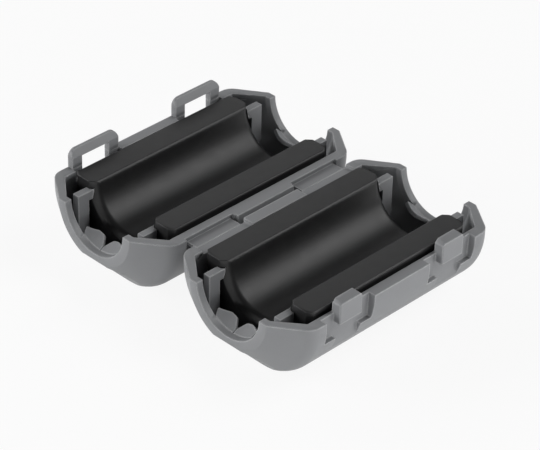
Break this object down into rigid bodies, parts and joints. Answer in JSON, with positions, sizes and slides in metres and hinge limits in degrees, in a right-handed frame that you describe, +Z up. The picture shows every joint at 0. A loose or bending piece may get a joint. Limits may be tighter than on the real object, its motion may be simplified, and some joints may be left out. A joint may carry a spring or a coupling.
{
  "type": "ferrite sleeve",
  "caption": "Clip-on split ferrite sleeve lying open: two tapered half shells on a thin hinge, each with a half-round ferrite core, and latch loops that snap over catches.",
  "frame": {"origin": "on the surface the open shells lie on, under the middle of the hinge", "axes": "+X along the cable, +Y from the hinge towards the lid with the latch loops, +Z up out of the open shells"},
  "size_m": [0.036, 0.0448, 0.012],
  "materials": {
    "case_plastic": "fine matte moulded grey",
    "ferrite": "dark sintered ferrite with ground mating faces"
  },
  "bodies": {
    "base": {"case_base": "case_plastic", "hinge_web_front": "case_plastic", "hinge_web_back": "case_plastic"},
    "lid": {"case_lid": "case_plastic", "latch_loop_front": "case_plastic", "latch_loop_back": "case_plastic"},
    "core_base": {"ferrite_base": "ferrite"},
    "core_lid": {"ferrite_lid": "ferrite"}
  },
  "joints": [
    {"name": "lid_hinge", "type": "hinge", "parent": "base", "child": "lid", "pos_m": [0, 0, 0.00946], "axis": [1, 0, 0], "range_deg": [0, 180], "deforming": ["hinge_web_front", "hinge_web_back", "latch_loop_front", "latch_loop_back"]},
    {"name": "core_base_float", "type": "slide", "parent": "base", "child": "core_base", "axis": [0, 0, -1], "range_m": [0, 0.00055]},
    {"name": "core_lid_float", "type": "slide", "parent": "lid", "child": "core_lid", "axis": [0, 0, -1], "range_m": [0, 0.00055]}
  ],
  "couplings": [
    {"joint": "core_base_float", "follows": "lid_hinge", "m_per_rad": 0.000175},
    {"joint": "core_lid_float", "follows": "lid_hinge", "m_per_rad": 0.000175}
  ]
}
